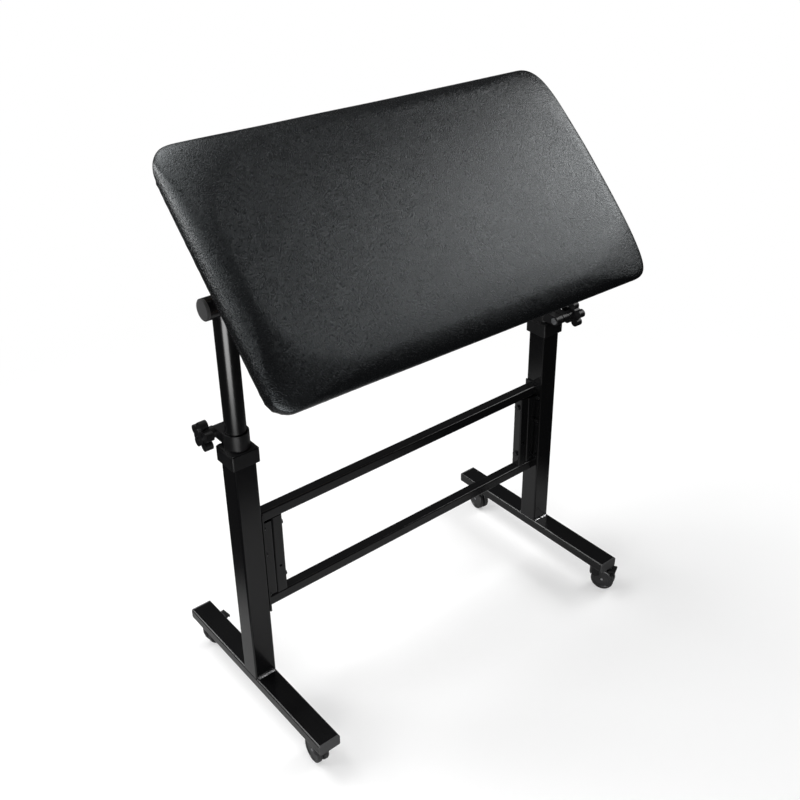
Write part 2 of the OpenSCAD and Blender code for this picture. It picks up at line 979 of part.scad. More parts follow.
// Half section of a wheel: bore, flat inner face, rounded tread edges and a dished outer face
module wheel_section() {
    polygon([
        [axle_d / 2 + seat_gap, 0],
        [wheel_r - wheel_edge / 2, 0],
        [wheel_r, wheel_edge / 2],
        [wheel_r, wheel_w - wheel_edge],
        [wheel_r - wheel_edge / 3, wheel_w - wheel_edge / 3],
        [wheel_r - wheel_edge, wheel_w],
        [wheel_r - wheel_edge - face_rim, wheel_w],
        [wheel_r - wheel_edge - face_rim - face_dish, wheel_w - face_dish],
        [cap_dot_d / 2, wheel_w - face_dish],
        [cap_dot_d / 2, wheel_w - axle_end],
        [axle_d / 2 + seat_gap, wheel_w - axle_end]]);
}

module caster_wheels(c) {
    plastic()
        at_caster(c)
            for (turn = [-90, 90])
                translate([-caster_trail, 0, wheel_r])
                    rotate([turn, 0, 0])
                        translate([0, 0, wheel_in])
                            rotate_extrude()
                                wheel_section();
}

// Brake pedal: two cheeks on the pin either side of the web, and a tread behind them
module brake_plan() {
    tip_x = brake_x - brake_len;
    tip_z = brake_z + brake_rise;
    translate([brake_x, brake_z])
        circle(brake_hub_r);
    polygon([
        [brake_x, brake_z + brake_hub_r],
        [tip_x, tip_z + brake_t / 2],
        [tip_x, tip_z - brake_t / 2 - brake_lip],
        [tip_x + brake_t / 2, tip_z - brake_t / 2 - brake_lip],
        [tip_x + brake_t, tip_z - brake_t / 2],
        [brake_x - brake_hub_r, brake_z - brake_t / 2],
        [brake_x, brake_z - brake_t / 2]]);
}

module caster_brake(c) {
    slot = brake_hub_r + brake_slot_gap;
    plastic()
        at_caster(c)
            difference() {
                slab_y(brake_w)
                    brake_plan();
                translate([brake_x - slot, -web_w / 2 - brake_side_gap, brake_z - 2 * slot])
                    cube([3 * slot, web_w + 2 * brake_side_gap, 4 * slot]);
                translate([brake_x, 0, brake_z])
                    rod_y(-brake_w, 2 * brake_w, brake_pin_d + 2 * run_gap);
            }
}

foot_tube(-1);  // foot_tube_left
foot_tube(1);  // foot_tube_right
foot_end_caps();
post(-1);  // post_left
post(1);  // post_right
post_cap(-1);  // post_cap_left
post_cap(1);  // post_cap_right
clamp_collar(-1);  // clamp_collar_left
clamp_collar(1);  // clamp_collar_right
clamp_bolts();
clamp_knob(-1);  // clamp_knob_left
clamp_knob(1);  // clamp_knob_right
rail(upper_z);  // upper_rail
rail(lower_z);  // lower_rail
stile(-1);  // stile_left
stile(1);  // stile_right
end_bracket(-1);  // end_bracket_left
end_bracket(1);  // end_bracket_right
frame_bolts();
frame_nuts();
bracket_screws();
height_tube(-1);  // height_tube_left
height_tube(1);  // height_tube_right
tube_guides();
pivot_sleeve(-1);  // pivot_sleeve_left
pivot_sleeve(1);  // pivot_sleeve_right
sleeve_plugs();
plug_screws();
lock_boss();
lock_screw();
lock_knob();
pivot_bar();
pad_bearer(-1);  // pad_bearer_left
pad_bearer(1);  // pad_bearer_right
bearer_screws();
pad_board();
pad_cushion();
caster_stems();
caster_nuts();
caster_hood(CORNERS[0]);  // caster_hood_front_left
caster_hood(CORNERS[1]);  // caster_hood_front_right
caster_hood(CORNERS[2]);  // caster_hood_back_left
caster_hood(CORNERS[3]);  // caster_hood_back_right
caster_axle(CORNERS[0]);  // caster_axle_front_left
caster_axle(CORNERS[1]);  // caster_axle_front_right
caster_axle(CORNERS[2]);  // caster_axle_back_left
caster_axle(CORNERS[3]);  // caster_axle_back_right
caster_wheels(CORNERS[0]);  // caster_wheels_front_left
caster_wheels(CORNERS[1]);  // caster_wheels_front_right
caster_wheels(CORNERS[2]);  // caster_wheels_back_left
caster_wheels(CORNERS[3]);  // caster_wheels_back_right
caster_brake(CORNERS[0]);  // caster_brake_front_left
caster_brake(CORNERS[1]);  // caster_brake_front_right
caster_brake(CORNERS[2]);  // caster_brake_back_left
caster_brake(CORNERS[3]);  // caster_brake_back_right
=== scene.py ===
# %% [markdown]
# # The looks of an arm rest stand
#
# The frame of this object comes from CAD and stays as it is. Here it gets its finishes, a soft
# leather cushion of its own, the staples of the cover, ripples on the welds, a camera and light.
#
# Units are metres. The origin is on the floor, midway between the two legs; +X runs along the pad,
# -Y is the low front edge and +Z is up.

# %% Load the frame
import json
import math
import bpy
import numpy as np
from mathutils import Matrix, Vector

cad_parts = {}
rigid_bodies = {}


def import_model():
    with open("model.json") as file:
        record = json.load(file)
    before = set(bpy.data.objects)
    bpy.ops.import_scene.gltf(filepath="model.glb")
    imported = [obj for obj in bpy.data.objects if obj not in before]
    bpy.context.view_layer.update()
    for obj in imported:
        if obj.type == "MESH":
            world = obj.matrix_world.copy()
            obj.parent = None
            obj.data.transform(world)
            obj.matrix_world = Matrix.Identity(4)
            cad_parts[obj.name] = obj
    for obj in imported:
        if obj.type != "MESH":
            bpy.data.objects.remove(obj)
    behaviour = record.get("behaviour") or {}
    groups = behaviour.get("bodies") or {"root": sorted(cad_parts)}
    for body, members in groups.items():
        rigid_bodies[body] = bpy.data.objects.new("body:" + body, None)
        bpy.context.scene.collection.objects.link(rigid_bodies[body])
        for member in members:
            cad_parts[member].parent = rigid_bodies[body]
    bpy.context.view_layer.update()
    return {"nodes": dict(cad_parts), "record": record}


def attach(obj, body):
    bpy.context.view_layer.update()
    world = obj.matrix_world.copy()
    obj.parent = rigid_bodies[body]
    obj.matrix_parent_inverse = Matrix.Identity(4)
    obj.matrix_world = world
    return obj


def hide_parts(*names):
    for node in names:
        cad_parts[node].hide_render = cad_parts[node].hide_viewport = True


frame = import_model()
nodes = frame["nodes"]


# %% [markdown]
# ## 1. A short way to write shaders
#
# `Sock` wraps an output socket, so that ordinary arithmetic adds Math nodes. `Graph` makes
# every node through one method, and `Look` is a graph that holds one material.

# %% Sockets that can be added and multiplied
class Sock:
    """An output socket: +, -, * and ** on it add Math nodes to its tree."""

    def __init__(self, graph, socket):
        self.graph = graph
        self.socket = socket

    def math(self, operation, *others):
        node = self.graph.tree.nodes.new("ShaderNodeMath")
        node.operation = operation
        for slot, value in zip(node.inputs, (self, *others)):
            self.graph.feed(slot, value)
        return Sock(self.graph, node.outputs[0])

    def __add__(self, other):
        return self.math("ADD", other)

    def __sub__(self, other):
        return self.math("SUBTRACT", other)

    def __mul__(self, other):
        return self.math("MULTIPLY", other)

    def __pow__(self, other):
        return self.math("POWER", other)

    def smooth(self, low, high):
        """0 below low, 1 above high, and an eased step between."""
        return self.graph.node(
            "ShaderNodeMapRange", {"Value": self, "From Min": low, "From Max": high},
            interpolation_type="SMOOTHSTEP")

    def between(self, low, high):
        """A 0 to 1 value spread over low to high."""
        return self.graph.node("ShaderNodeMapRange", {"Value": self, "To Min": low, "To Max": high})


print("Sock: arithmetic on sockets")


# %% One way to make nodes, for shaders and for geometry
class Graph:
    """A node tree with one method that makes, sets up and feeds a node."""

    def __init__(self, tree):
        self.tree = tree

    def feed(self, slot, value):
        if isinstance(value, Sock):
            self.tree.links.new(value.socket, slot)
        else:
            slot.default_value = value

    def node(self, kind, inputs=None, output=0, **settings):
        """Adds a node, sets it up, feeds its inputs and returns one output."""
        made = self.tree.nodes.new(kind)
        for key, value in settings.items():
            setattr(made, key, value)
        for key, value in (inputs or {}).items():
            self.feed(made.inputs[key], value)
        return Sock(self, made.outputs[output])


print("Graph: one node maker")


# %% One material
class Look(Graph):
    """One material: a Principled shader whose varying inputs are fed with sockets."""

    def __init__(self, name, **fixed):
        self.material = bpy.data.materials.new(name)
        self.material.use_nodes = True
        super().__init__(self.material.node_tree)
        self.shader = self.tree.nodes["Principled BSDF"]
        self.at = self.node("ShaderNodeTexCoord", output="Object")
        for key, value in fixed.items():
            self.shader.inputs[key.replace("_", " ")].default_value = value

    def noise(self, scale, detail=3.0, roughness=0.5, at=None):
        return self.node("ShaderNodeTexNoise", {"Vector": at or self.at, "Scale": scale,
                                                "Detail": detail, "Roughness": roughness})

    def cells(self, scale, feature="F1", at=None):
        return self.node("ShaderNodeTexVoronoi", {"Vector": at or self.at, "Scale": scale},
                         feature=feature)

    def stretch(self, x, y, z):
        """The object coordinates, scaled along each axis."""
        return self.node("ShaderNodeVectorMath", {0: self.at, 1: (x, y, z)}, operation="MULTIPLY")

    def axis(self, name, at=None):
        return self.node("ShaderNodeSeparateXYZ", {0: at or self.at}, output="XYZ".index(name))

    def ramp(self, factor, dark, light):
        """A colour between dark and light."""
        return self.node("ShaderNodeMix", {0: factor, 6: (*dark, 1), 7: (*light, 1)}, output=2,
                         data_type="RGBA")

    def colour(self, value):
        self.feed(self.shader.inputs["Base Color"], value)

    def rough(self, value):
        self.feed(self.shader.inputs["Roughness"], value)

    def bump(self, height, distance, strength):
        """Relief from a height socket; distance is in metres."""
        relief = self.node("ShaderNodeBump",
                           {"Height": height, "Distance": distance, "Strength": strength})
        self.feed(self.shader.inputs["Normal"], relief)


print("Look: one material")

# %% [markdown]
# ## 2. Finishes
#
# Nearly everything is black, so the finishes differ in how they shine: powder coat with its fine
# orange peel, glossy paint on the round tubes, grained plastic, and leather with a pebble grain.

# %% Powder coat and paint
def powder_coat():
    look = Look("satin_black", Specular_IOR_Level=0.5)
    peel = look.noise(900.0, 2.0) + look.noise(2600.0, 1.0) * 0.35
    cloud = look.noise(14.0, 4.0)
    dust = look.noise(160.0, 5.0, 0.65).smooth(0.56, 0.78)
    look.colour(look.ramp(cloud * 0.7 + dust * 0.3,
                          (0.0020, 0.0020, 0.0023), (0.0046, 0.0047, 0.0051)))
    look.rough(cloud.between(0.15, 0.20) + dust * 0.06)
    look.bump(peel, 0.00003, 0.5)
    return look.material


def gloss_paint():
    look = Look("gloss_black", Specular_IOR_Level=0.5)
    along = look.noise(30.0, 3.0, at=look.stretch(30.0, 30.0, 3.0))
    wipe = look.noise(700.0, 2.0)
    look.colour(look.ramp(along, (0.0022, 0.0022, 0.0025), (0.0045, 0.0045, 0.0050)))
    look.rough(along.between(0.20, 0.26))
    look.bump(wipe + along * 0.5, 0.00003, 0.35)
    return look.material


print("two painted finishes")


# %% Moulded plastics
def moulded(name, dark, light, low, high):
    """Pitted plastic, its roughness between low and high."""
    look = Look(name, Specular_IOR_Level=0.3)
    pits = look.cells(1500.0) * 0.7 + look.noise(900.0, 2.0) * 0.5
    scuff = look.noise(45.0, 5.0, 0.7)
    look.colour(look.ramp(scuff, dark, light))
    look.rough(scuff.between(low, high))
    look.bump(pits, 0.00007, 0.6)
    return look.material


def wheel_nylon():
    look = Look("wheel_plastic", Specular_IOR_Level=0.5)
    scuff = look.noise(220.0, 5.0, 0.7)
    spots = look.noise(38.0, 3.0).smooth(0.52, 0.72)
    look.colour(look.ramp(scuff * 0.6 + spots * 0.4, (0.008, 0.008, 0.0085), (0.030, 0.030, 0.031)))
    look.rough(scuff.between(0.26, 0.46) + spots * 0.08)
    look.bump(scuff, 0.00008, 0.5)
    return look.material


print("plastics")


# %% Metals and wood
def zinc():
    look = Look("zinc_steel", Metallic=1.0)
    spangle = look.cells(420.0)
    drawn = look.noise(160.0, 4.0, 0.6)
    look.colour(look.ramp(spangle * 1.2, (0.36, 0.37, 0.39), (0.62, 0.63, 0.64)))
    look.rough(drawn.between(0.24, 0.42))
    look.bump(drawn, 0.00005, 0.4)
    return look.material


def black_screw():
    look = Look("black_screw", Metallic=0.6, Coat_Weight=0.2, Coat_Roughness=0.25)
    worn = look.noise(700.0, 4.0, 0.6).smooth(0.55, 0.8)
    look.colour(look.ramp(worn, (0.010, 0.010, 0.011), (0.050, 0.050, 0.052)))
    look.rough(worn.between(0.28, 0.42))
    look.bump(look.noise(900.0), 0.00005, 0.4)
    return look.material


def weld_metal():
    """Paint over a weld lies thin and glossy, so each ripple catches the light."""
    look = Look("weld_metal", Specular_IOR_Level=0.6)
    crust = look.noise(900.0, 3.0)
    thin = look.noise(420.0, 3.0).smooth(0.42, 0.56)
    look.colour(look.ramp(thin, (0.010, 0.010, 0.011), (0.62, 0.62, 0.63)))
    look.feed(look.shader.inputs["Metallic"], thin * 0.9)
    look.rough(crust.between(0.14, 0.26))
    look.bump(crust, 0.00008, 0.5)
    return look.material


def plywood():
    """Birch plywood: long fibres on the faces, darker glue lines on the edges."""
    ply = 0.003
    look = Look("plywood", Specular_IOR_Level=0.35)
    turned = look.node("ShaderNodeVectorRotate", {"Vector": look.at, "Angle": -math.pi / 4},
                       rotation_type="X_AXIS")
    grain_at = look.node("ShaderNodeVectorMath", {0: turned, 1: (3.0, 46.0, 46.0)},
                         operation="MULTIPLY")
    fibre = look.noise(9.0, 6.0, 0.62, at=grain_at)
    figure = look.node("ShaderNodeTexWave", {"Vector": grain_at, "Scale": 0.7, "Distortion": 7.0,
                                             "Detail": 3.0}, output=1, wave_type="BANDS")
    depth = look.axis("Z", turned)
    plies = (depth * (2 * math.pi / ply)).math("SINE").smooth(0.55, 1.0)
    tone = fibre * 0.55 + figure * 0.3 - plies * 0.25
    look.colour(look.ramp(tone, (0.30, 0.185, 0.095), (0.66, 0.49, 0.31)))
    look.rough(fibre.between(0.55, 0.75))
    look.bump(fibre + figure * 0.3, 0.00015, 0.5)
    return look.material


print("metals and plywood")


# %% Leather
def leather():
    """Pebble grain at two sizes with creases between, softened where the cover is stretched; the
    creases are painted darker, a painted shade.
    """
    grain, fine_grain = 440.0, 1150.0
    look = Look("black_leather", Specular_IOR_Level=0.5, Specular_Tint=(0.90, 0.97, 1.0, 1.0))
    drift = look.node("ShaderNodeTexNoise", {"Vector": look.at, "Scale": 300.0, "Detail": 1.0},
                      output=1)
    nudge = look.node("ShaderNodeVectorMath", {0: drift, 3: 0.0012}, operation="SCALE")
    warp = look.node("ShaderNodeVectorMath", {0: look.at, 1: nudge}, operation="ADD")
    pebble = look.cells(grain, at=warp)
    crease = look.cells(grain, "DISTANCE_TO_EDGE", at=warp).smooth(0.0, 0.22)
    fine = look.cells(fine_grain, at=warp)
    cloud = look.noise(7.0, 4.0)
    stretch = look.noise(16.0, 2.0).between(0.8, 1.0)
    height = (crease * 0.6 - pebble * 0.9) * stretch - fine * 0.25
    # colour darker in the creases between the pebbles: painted shade
    look.colour(look.ramp(crease * 0.7 + cloud * 0.3,
                          (0.0016, 0.0018, 0.0021), (0.0056, 0.0060, 0.0067)))
    look.rough(cloud.between(0.20, 0.23) + pebble * 0.08)
    look.bump(height, 0.00048, 0.5)
    return look.material


print("leather")

# %% Give each CAD node its finish
FINISH = {
    "satin_black": powder_coat(),
    "gloss_black": gloss_paint(),
    "black_plastic": moulded("black_plastic",
                             (0.0035, 0.0035, 0.0038), (0.0085, 0.0085, 0.0090), 0.26, 0.40),
    "cap_plastic": moulded("cap_plastic",
                           (0.030, 0.030, 0.031), (0.052, 0.052, 0.053), 0.40, 0.52),
    "wheel_plastic": wheel_nylon(),
    "zinc_steel": zinc(),
    "black_screw": black_screw(),
    "plywood": plywood(),
    "weld_metal": weld_metal(),
    "black_leather": leather(),
}
slots = {s["node"]: s["material_slot"] for s in frame["record"]["subparts"]}
for name, obj in nodes.items():
    obj.data.materials.clear()
    obj.data.materials.append(FINISH[slots[name]])
    print(name, slots[name])

# %% [markdown]
# ## 3. The cushion
#
# The cover is pulled over foam on a board. Its form climbs from a drawn-in lower edge to a widest
# band, turns over a soft rounding and closes in a low crown. The same rule as in the CAD gives the
# rings, with many more of them; pull folds, pleats and dents are then made by moving its points.

# %% Plan and height rules of the cushion
PAD_LEN, PAD_DEPTH, PAD_THICK, PAD_SIDE = 0.763, 0.423, 0.0735, 0.038
CROWN_X, CROWN_Y, CORNER_LIFT = 0.004, 0.018, 0.013
CORNER, TOP_CORNER, ROUND, DRAW_IN = 0.032, 0.140, 0.036, 0.011
FULLNESS, SOFTENING, SOFT_REACH = 2.4, 0.4, 0.09
SOFT_LEFT, SOFT_FRONT = 0.285, 0.100
FRONT_SAG, SAG_START, SAG_REACH = 0.0062, 0.135, 0.076
BOARD_INSET, BOARD_CORNER, BOARD_T = 0.014, 0.030, 0.015
PIVOT_Z, PAD_BASE, PAD_OFFSET, TILT = 0.778, 0.036, 0.010, math.radians(45)
CORNER_STEPS, LONG_STEPS, SHORT_STEPS = 18, 96, 54
LIP_RINGS, SIDE_RINGS, SHOULDER_RINGS, CROWN_RINGS = 6, 12, 24, 40


def plan_ring(inset, r):
    """Points round the plan, drawn in by inset, with corners of radius r; counter-clockwise."""
    cx, cy = PAD_LEN / 2 - inset - r, PAD_DEPTH / 2 - inset - r
    corners = []
    for k, (sx, sy) in enumerate(((1, 1), (-1, 1), (-1, -1), (1, -1))):
        turn = np.radians(90 * k + 90 * np.arange(CORNER_STEPS + 1) / CORNER_STEPS)
        corners.append(np.stack([sx * cx + r * np.cos(turn), sy * cy + r * np.sin(turn)], 1))
    out = []
    for k, arc in enumerate(corners):
        a, b = arc[-1], corners[(k + 1) % 4][0]
        n = LONG_STEPS if k % 2 == 0 else SHORT_STEPS
        out += [arc, a + (b - a) * (np.arange(1, n) / n)[:, None]]
    return np.concatenate(out)


def crown(p):
    """Height of the crowned top over the board's underside."""
    u, v = (2 * p[:, 0] / PAD_LEN) ** 2, (2 * p[:, 1] / PAD_DEPTH) ** 2
    sag = FRONT_SAG * np.clip((-p[:, 1] - SAG_START) / SAG_REACH, 0, 1) ** 2
    return PAD_THICK - CROWN_X * u - CROWN_Y * v + CORNER_LIFT * u * v - sag


def fullness(plan):
    """How tightly the shoulder turns: 2 is an ellipse, as at the softer left end and front."""
    left = np.clip((-plan[:, 0] - SOFT_LEFT) / SOFT_REACH, 0, 1)
    front = np.clip((-plan[:, 1] - SOFT_FRONT) / SOFT_REACH, 0, 1)
    soft = np.maximum(left, front)
    return FULLNESS - SOFTENING * soft * soft * (3 - 2 * soft)


print("rings of", len(plan_ring(0.0, CORNER)), "points")


# %% Rings of the cushion
def rise(plan, z):
    """A plan ring, lifted to height z."""
    return np.column_stack([plan, np.broadcast_to(z, len(plan))])


def cushion_rings():
    """From the middle of the board's top, round the board, under its edge and over the crown."""
    # clearance to the board, inner end and start of the lip, thickness of the cover, lower rounding
    gap, lip, lip_start, hide, edge = 0.0003, 0.030, 0.006, 0.0010, 0.004
    board = plan_ring(BOARD_INSET - gap, BOARD_CORNER + gap)
    rings = [rise(board * share, BOARD_T + gap) for share in (0.05, 0.35, 0.7, 1.0)]
    rings += [rise(board, z) for z in (0.009, 0.003, -gap)]
    under = [plan_ring(DRAW_IN + inset, BOARD_CORNER)
             for inset in np.linspace(lip_start, lip, LIP_RINGS)]
    rings += [rise(p, -gap) for p in under]
    rings += [rise(p, -gap - hide) for p in under[::-1]]
    for turn in np.radians([-68, -45, -22, 0]):
        plan = plan_ring(DRAW_IN + edge * (1 - math.cos(turn)), CORNER - DRAW_IN * 0.5)
        rings.append(rise(plan, edge - gap - hide + edge * math.sin(turn)))
    for share in np.linspace(0.12, 1.0, SIDE_RINGS + 1)[:-1]:
        inset = DRAW_IN * (1 - share) ** 2
        plan = plan_ring(inset, CORNER - inset * 0.5)
        rings.append(rise(plan, edge + (PAD_SIDE - edge) * share))
    for share in np.linspace(0.0, 1.0, SHOULDER_RINGS + 1)[:-1]:
        turn = math.pi / 2 * share
        corner = CORNER + (TOP_CORNER - CORNER) * math.sin(turn) ** 2
        plan = plan_ring(ROUND * (1 - math.cos(turn)), corner)
        swell = np.sqrt(1 - math.cos(turn) ** fullness(plan))
        rings.append(np.column_stack([plan, PAD_SIDE + (crown(plan) - PAD_SIDE) * swell]))
    top = plan_ring(ROUND, TOP_CORNER)
    for share in np.linspace(0.0, 1.0, CROWN_RINGS + 1)[:-1]:
        q = top * (1 - share)
        rings.append(np.column_stack([q, crown(q)]))
    return rings


rings = cushion_rings()
INNER_RINGS = 18
print(len(rings), "rings of", len(rings[0]), "points")


# %% Build the cover as one closed mesh
def closed_rings(name, rings):
    """Joins rings into a closed skin; the first and last ring close on their own centres."""
    n, count = len(rings[0]), len(rings)
    verts = np.concatenate([*rings, [rings[0].mean(0)], [rings[-1].mean(0)]])
    faces = []
    for k in range(count - 1):
        low, high = k * n, (k + 1) * n
        faces += [(low + i, low + (i + 1) % n, high + (i + 1) % n, high + i) for i in range(n)]
    first, last = n * count, n * count + 1
    faces += [((i + 1) % n, i, first) for i in range(n)]
    end = (count - 1) * n
    faces += [(end + i, end + (i + 1) % n, last) for i in range(n)]
    mesh = bpy.data.meshes.new(name)
    mesh.from_pydata(verts.tolist(), [], faces)
    mesh.update()
    obj = bpy.data.objects.new(name, mesh)
    bpy.context.collection.objects.link(obj)
    return obj


cushion = closed_rings("cushion_cover", rings)
print(len(cushion.data.vertices), "points in the cover")


# %% Pull folds, pleats and a little unevenness
PULL, SIDE_PULL, PLEAT, DENT = 0.0009, 0.0007, 0.0016, 0.0006
FULLER_RIGHT, FULLER_LEFT = 0.0065, 0.0020
FRONT_OUT, FRONT_TAPER = 0.0015, 0.0095


def falloff(x, centre, width):
    return np.exp(-((x - centre) / width) ** 2)


def waves(position, seed, lengths):
    """A sum of waves with fixed random phases along one coordinate."""
    rng = np.random.default_rng(seed)
    total = np.zeros_like(position)
    for length in lengths:
        phase, gain = rng.uniform(0, 2 * math.pi), rng.uniform(0.5, 1.0)
        total += gain * np.sin(2 * math.pi * position / length + phase)
    return total / len(lengths)


def inner_share(count):
    """1 for the rings inside the cover and under the board, 0 for those that show."""
    share = np.zeros(count)
    share[:INNER_RINGS * len(rings[0])] = 1.0
    share[-2] = 1.0
    return share


def shape_cover(obj):
    """Moves the points that show; x, y and z follow the moves, since they look into co."""
    mesh = obj.data
    co = np.empty(len(mesh.vertices) * 3)
    mesh.vertices.foreach_get("co", co)
    co = co.reshape(-1, 3)
    x, y, z = co.T
    front = np.clip((-y - 0.150) / 0.05, 0, 1)
    back = np.clip((y - 0.150) / 0.05, 0, 1)
    ends = np.clip((abs(x) - 0.320) / 0.05, 0, 1)
    low = np.clip(1 - z / 0.045, 0, 1) ** 1.3
    # folds where the cover is drawn under the board, strongest in groups
    group = (0.35 + falloff(x, -0.235, 0.05) + 0.8 * falloff(x, -0.31, 0.03)
             + 0.5 * falloff(x, 0.17, 0.06))
    pull = waves(x + 0.15 * z, 3, (0.013, 0.019, 0.027)) * group * low * (front + 0.6 * back)
    side_pull = waves(y - 0.1 * z, 5, (0.017, 0.026, 0.034)) * low * ends * 0.6
    # pleats round the corners
    around = np.arctan2(abs(y) - (PAD_DEPTH / 2 - 0.05), abs(x) - (PAD_LEN / 2 - 0.05))
    from_corner = np.hypot(abs(x) - (PAD_LEN / 2 - 0.012), abs(y) - (PAD_DEPTH / 2 - 0.012))
    at_corner = falloff(from_corner, 0, 0.03)
    pleat = np.abs(np.sin(around * 9)) * at_corner * np.clip(1 - z / 0.014, 0, 1)
    # soft dents of foam under the cover
    dent = waves(x * 0.8 + y, 7, (0.21, 0.33)) * waves(y * 0.9 - x * 0.3, 9, (0.17, 0.29))
    out = PULL * pull + SIDE_PULL * side_pull - PLEAT * pleat
    outside = 1.0 - inner_share(len(x))
    out *= outside
    # the cover is a little fuller towards the right end and along the front
    height = np.clip(z / 0.012, 0, 1) * outside
    right_end = np.clip((x - 0.33) / 0.04, 0, 1) * np.exp(-((y - 0.03) / 0.17) ** 2)
    left_end = np.clip((-x - 0.33) / 0.04, 0, 1)
    co[:, 0] += (FULLER_RIGHT * right_end + FULLER_LEFT * left_end) * height
    co[:, 1] -= (FRONT_OUT + FRONT_TAPER * x / PAD_LEN) * front * height
    reach = np.clip(z / 0.03, 0, 1) * outside
    normals = np.empty(len(mesh.vertices) * 3)
    mesh.vertices.foreach_get("normal", normals)
    normals = normals.reshape(-1, 3)
    co += normals * (out + DENT * dent * reach)[:, None]
    mesh.vertices.foreach_set("co", co.ravel())
    mesh.update()


shape_cover(cushion)
print("cover shaped")


# %% Set it on the stand
def on_pad(obj):
    """Moves a mesh from the cushion's own frame, flat on the board, to its place on the stand."""
    place = (Matrix.Translation((0, 0, PIVOT_Z)) @ Matrix.Rotation(TILT, 4, "X")
             @ Matrix.Translation((0, PAD_OFFSET, PAD_BASE)))
    obj.data.transform(place)
    obj.data.update()


on_pad(cushion)
for face in cushion.data.polygons:
    face.use_smooth = True
cushion.data.materials.clear()
cushion.data.materials.append(FINISH["black_leather"])
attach(cushion, "pad")
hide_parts("pad_cushion")
print(len(cushion.data.polygons), "faces in the finished cover")

# %% [markdown]
# ## 4. What repeats
#
# The cover is stapled to the board all round, and the welds at the posts are rows of ripples. Both
# follow a path, so one Geometry Nodes tree each instances a small shape along it. The trees have
# named sizes and a fixed seed, and end in plain mesh.

# %% A geometry tree with named inputs
class Recipe(Graph):
    """A geometry tree: named number inputs, one geometry in, one geometry out."""

    def __init__(self, name, **sizes):
        tree = bpy.data.node_groups.new(name, "GeometryNodeTree")
        super().__init__(tree)
        tree.interface.new_socket("Path", in_out="INPUT", socket_type="NodeSocketGeometry")
        self.ids = {}
        for key, value in sizes.items():
            kind = "NodeSocketInt" if isinstance(value, int) else "NodeSocketFloat"
            made = tree.interface.new_socket(key, in_out="INPUT", socket_type=kind)
            made.default_value = value
            self.ids[key] = made.identifier
        tree.interface.new_socket("Result", in_out="OUTPUT", socket_type="NodeSocketGeometry")
        self.source = tree.nodes.new("NodeGroupInput")
        self.path = Sock(self, self.source.outputs["Path"])

    def size(self, key):
        return Sock(self, self.source.outputs[key])

    def spots(self):
        """Points along the path, one every Spacing."""
        route = self.node("GeometryNodeMeshToCurve", {0: self.path})
        return self.node("GeometryNodeResampleCurve", {0: route, 3: self.size("Spacing")},
                         mode="LENGTH")

    def give(self, instances, material):
        """Realize Instances and Set Material close every tree."""
        real = self.node("GeometryNodeRealizeInstances", {0: instances})
        done = self.node("GeometryNodeSetMaterial", {0: real, "Material": material})
        out = self.tree.nodes.new("NodeGroupOutput")
        self.tree.links.new(done.socket, out.inputs["Result"])

    def run(self, name, path, body, slot, **sizes):
        """Applies the tree to a path mesh and returns the plain mesh object."""
        obj = bpy.data.objects.new(name, path)
        bpy.context.collection.objects.link(obj)
        mod = obj.modifiers.new("recipe", "NODES")
        mod.node_group = self.tree
        for key, value in sizes.items():
            mod[self.ids[key]] = value
        dg = bpy.context.evaluated_depsgraph_get()
        mesh = bpy.data.meshes.new_from_object(obj.evaluated_get(dg))
        obj.modifiers.clear()
        obj.data = mesh
        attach(obj, body)
        print(name, len(mesh.polygons), "faces")
        return obj


def path_mesh(name, loops, closed):
    """Edges through each list of points."""
    verts, edges = [], []
    for points in loops:
        first = len(verts)
        verts += [tuple(p) for p in points]
        edges += [(first + i, first + i + 1) for i in range(len(points) - 1)]
        if closed:
            edges.append((len(verts) - 1, first))
    mesh = bpy.data.meshes.new(name)
    mesh.from_pydata(verts, edges, [])
    return mesh


print("Recipe: one geometry tree")


# %% Staples
def staple_recipe():
    """A wire crown with its ends bent down, set along the path and a little askew."""
    g = Recipe("staples", Spacing=0.026, Width=0.010, Wire=0.0011, Sink=0.0010, Jitter=0.16, Seed=4)
    line = g.node("GeometryNodeCurvePrimitiveLine", {"Start": (-0.5, 0, 0), "End": (0.5, 0, 0)})
    line = g.node("GeometryNodeResampleCurve", {"Curve": line, "Count": 15})
    at = g.node("GeometryNodeInputPosition")
    x = g.node("ShaderNodeSeparateXYZ", {0: at})
    drop = (x * 2.0).math("ABSOLUTE") ** 7.0 * (g.size("Sink") * -1.0)
    spot = g.node("ShaderNodeCombineXYZ", {0: x * g.size("Width"), 2: drop})
    bent = g.node("GeometryNodeSetPosition", {"Geometry": line, "Position": spot})
    ring = g.node("GeometryNodeCurvePrimitiveCircle",
                  {"Resolution": 8, "Radius": g.size("Wire") * 0.5})
    wire = g.node("GeometryNodeCurveToMesh",
                  {"Curve": bent, "Profile Curve": ring, "Fill Caps": True})
    points = g.spots()
    tangent = g.node("GeometryNodeInputTangent")
    turn = g.node("FunctionNodeAlignRotationToVector", {"Vector": tangent},
                  axis="X", pivot_axis="Z")
    off = g.node("FunctionNodeRandomValue", {2: g.size("Jitter") * -1.0, 3: g.size("Jitter"),
                                             "Seed": g.size("Seed")}, output=1, data_type="FLOAT")
    askew = g.node("FunctionNodeRotateRotation", {
        0: turn, 1: g.node("ShaderNodeCombineXYZ", {2: off})}, rotation_space="LOCAL")
    placed = g.node("GeometryNodeInstanceOnPoints",
                    {"Points": points, "Instance": wire, "Rotation": askew})
    g.give(placed, FINISH["zinc_steel"])
    return g


STAPLE_INSET, STAPLE_DROP = 0.017, 0.0015
lip_line = rise(plan_ring(DRAW_IN + STAPLE_INSET, BOARD_CORNER), 0.0)
staples = staple_recipe().run("cover_staples", path_mesh("staple_path", [lip_line], True), "pad",
                              "zinc_steel", Spacing=0.026, Width=0.010, Seed=4)
